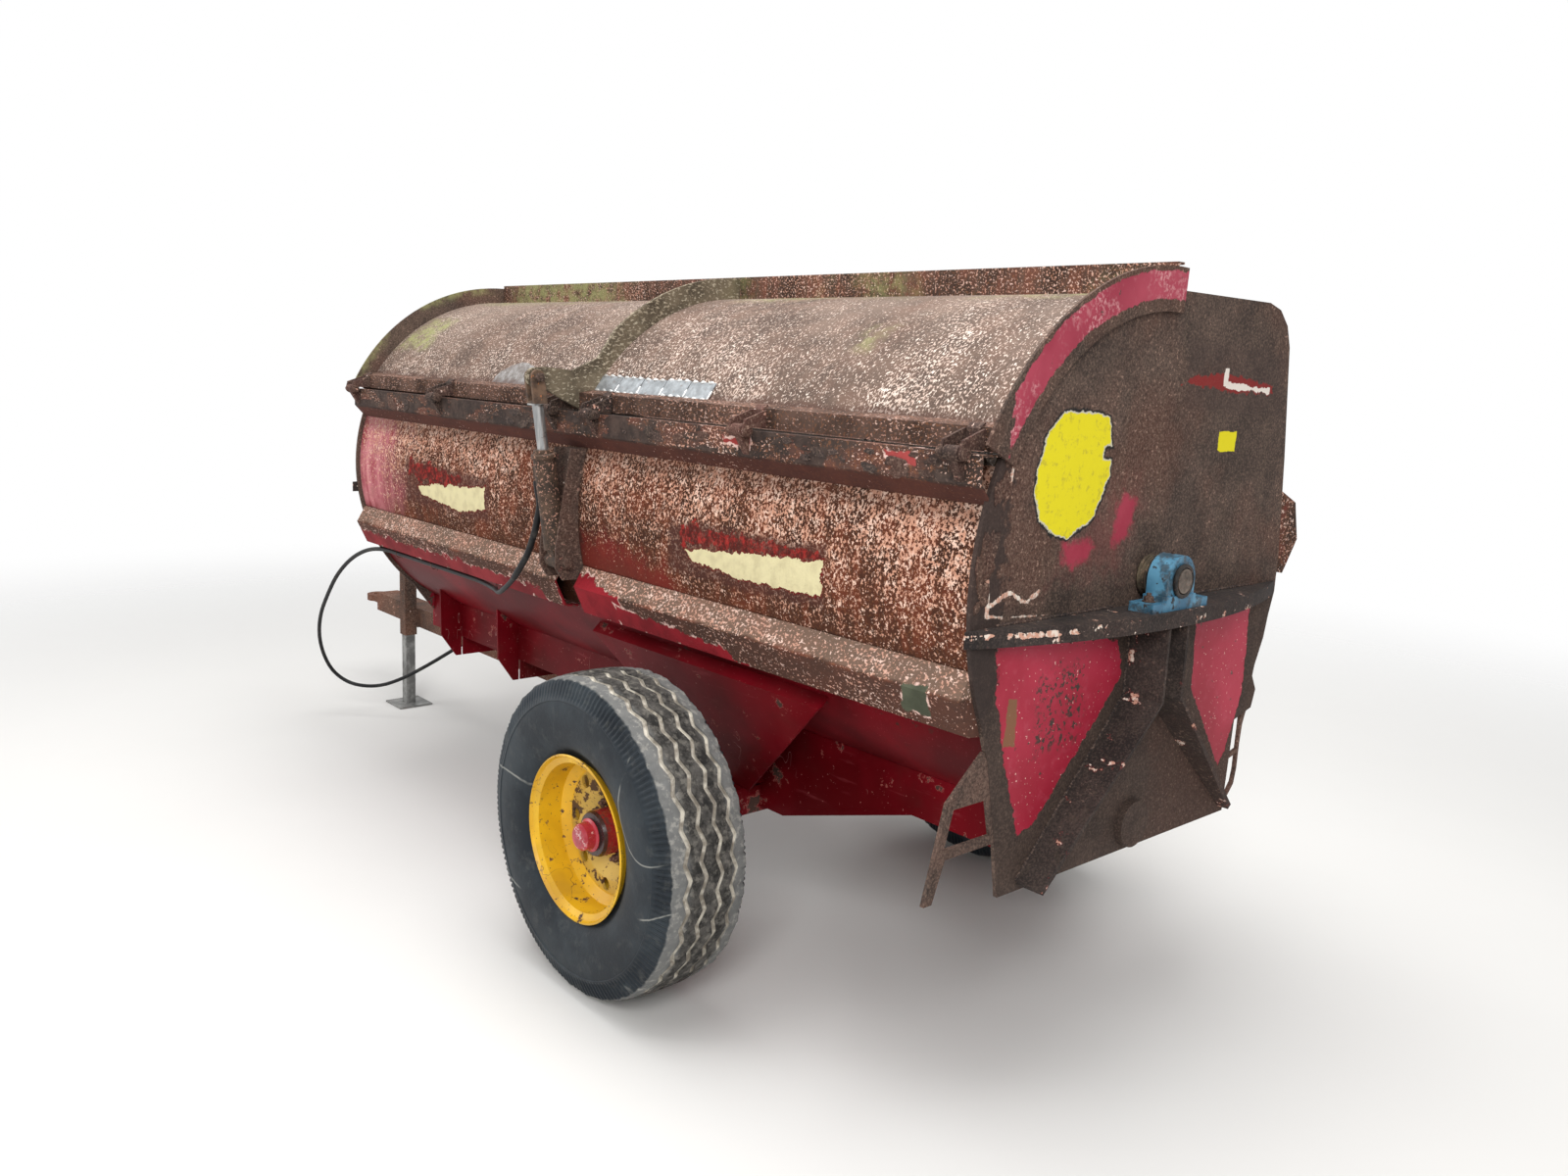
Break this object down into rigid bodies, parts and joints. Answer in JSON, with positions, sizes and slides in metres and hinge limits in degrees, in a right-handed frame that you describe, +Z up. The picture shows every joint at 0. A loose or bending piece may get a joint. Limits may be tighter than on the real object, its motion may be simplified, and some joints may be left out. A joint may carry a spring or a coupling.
{
  "type": "manure spreader",
  "caption": "Side-discharge rotary manure spreader on one axle, with a hinged lid, a flail rotor, a lid ram and a drawbar jack.",
  "frame": {"origin": "middle of the whole length and width, on the ground under the tyres", "axes": "+X towards the rear, +Y to the machine's right, +Z up"},
  "size_m": [5.072, 2.1, 2.171],
  "materials": {
    "red_paint": "worn",
    "rusty_steel": "rusty",
    "worn_steel": "worn",
    "bright_rod": "polished",
    "blue_casting": "painted",
    "tyre": "matte",
    "yellow_paint": "worn",
    "hose_rubber": "matte"
  },
  "bodies": {
    "spreader": {"barrel_shell": "red_paint", "front_plate": "red_paint", "rear_plate": "red_paint", "left_upper_rail": "red_paint", "left_lower_rail": "red_paint", "right_upper_rail": "red_paint", "right_lower_rail": "red_paint", "mouth_deflector": "red_paint", "chassis_rails": "red_paint", "chassis_ribs": "red_paint", "axle_gusset_left": "red_paint", "axle_gusset_right": "red_paint", "axle_beam": "red_paint", "drive_guard": "red_paint", "front_shelf": "rusty_steel", "rear_shelf": "rusty_steel", "rear_stiffener": "rusty_steel", "light_brackets": "rusty_steel", "ram_post": "rusty_steel", "hinge_tubes": "rusty_steel", "drawbar": "rusty_steel", "jack_sleeve": "rusty_steel", "towing_eye": "worn_steel", "front_bearing": "blue_casting", "rear_bearing": "blue_casting", "hose": "hose_rubber"},
    "lid": {"lid_sheet": "rusty_steel", "lid_ridge": "rusty_steel", "lid_edge_bar": "rusty_steel", "lid_end_bands": "red_paint", "lid_arm": "rusty_steel", "lid_hinges": "rusty_steel"},
    "ram_barrel": {"ram_cylinder": "worn_steel"},
    "ram_piston": {"ram_rod": "bright_rod"},
    "rotor": {"flail_rotor": "rusty_steel"},
    "input": {"input_shaft": "worn_steel"},
    "wheel_left": {"tyre_left": "tyre", "rim_left": "yellow_paint", "hub_left": "red_paint"},
    "wheel_right": {"tyre_right": "tyre", "rim_right": "yellow_paint", "hub_right": "red_paint"},
    "jack": {"jack_leg": "worn_steel"}
  },
  "joints": [
    {"name": "lid_hinge", "type": "hinge", "parent": "spreader", "child": "lid", "pos_m": [1.264, -0.74, 1.69], "axis": [1, 0, 0], "range_deg": [0, 55]},
    {"name": "ram_swing", "type": "hinge", "parent": "spreader", "child": "ram_barrel", "pos_m": [0.679, -0.748, 1.2], "axis": [1, 0, 0], "range_deg": [0, 8.3]},
    {"name": "rod_slide", "type": "slide", "parent": "ram_barrel", "child": "ram_piston", "axis": [0, -0.1479, 0.989], "range_m": [-0.1125, 0]},
    {"name": "rotor_spin", "type": "hinge", "parent": "spreader", "child": "rotor", "pos_m": [1.264, 0, 1.365], "axis": [1, 0, 0], "continuous": true},
    {"name": "input_spin", "type": "hinge", "parent": "spreader", "child": "input", "pos_m": [-1.176, 0, 0.79], "axis": [1, 0, 0], "continuous": true},
    {"name": "wheel_left_spin", "type": "hinge", "parent": "spreader", "child": "wheel_left", "pos_m": [1.264, -0.898, 0.483], "axis": [0, 1, 0], "continuous": true},
    {"name": "wheel_right_spin", "type": "hinge", "parent": "spreader", "child": "wheel_right", "pos_m": [1.264, 0.898, 0.483], "axis": [0, 1, 0], "continuous": true},
    {"name": "jack_slide", "type": "slide", "parent": "spreader", "child": "jack", "axis": [0, 0, 1], "range_m": [0, 0.26]}
  ],
  "couplings": [
    {"joint": "ram_swing", "follows": "lid_hinge", "ratio": 0.149},
    {"joint": "rod_slide", "follows": "lid_hinge", "m_per_rad": -0.1125},
    {"joint": "input_spin", "follows": "rotor_spin", "ratio": 1.6}
  ]
}
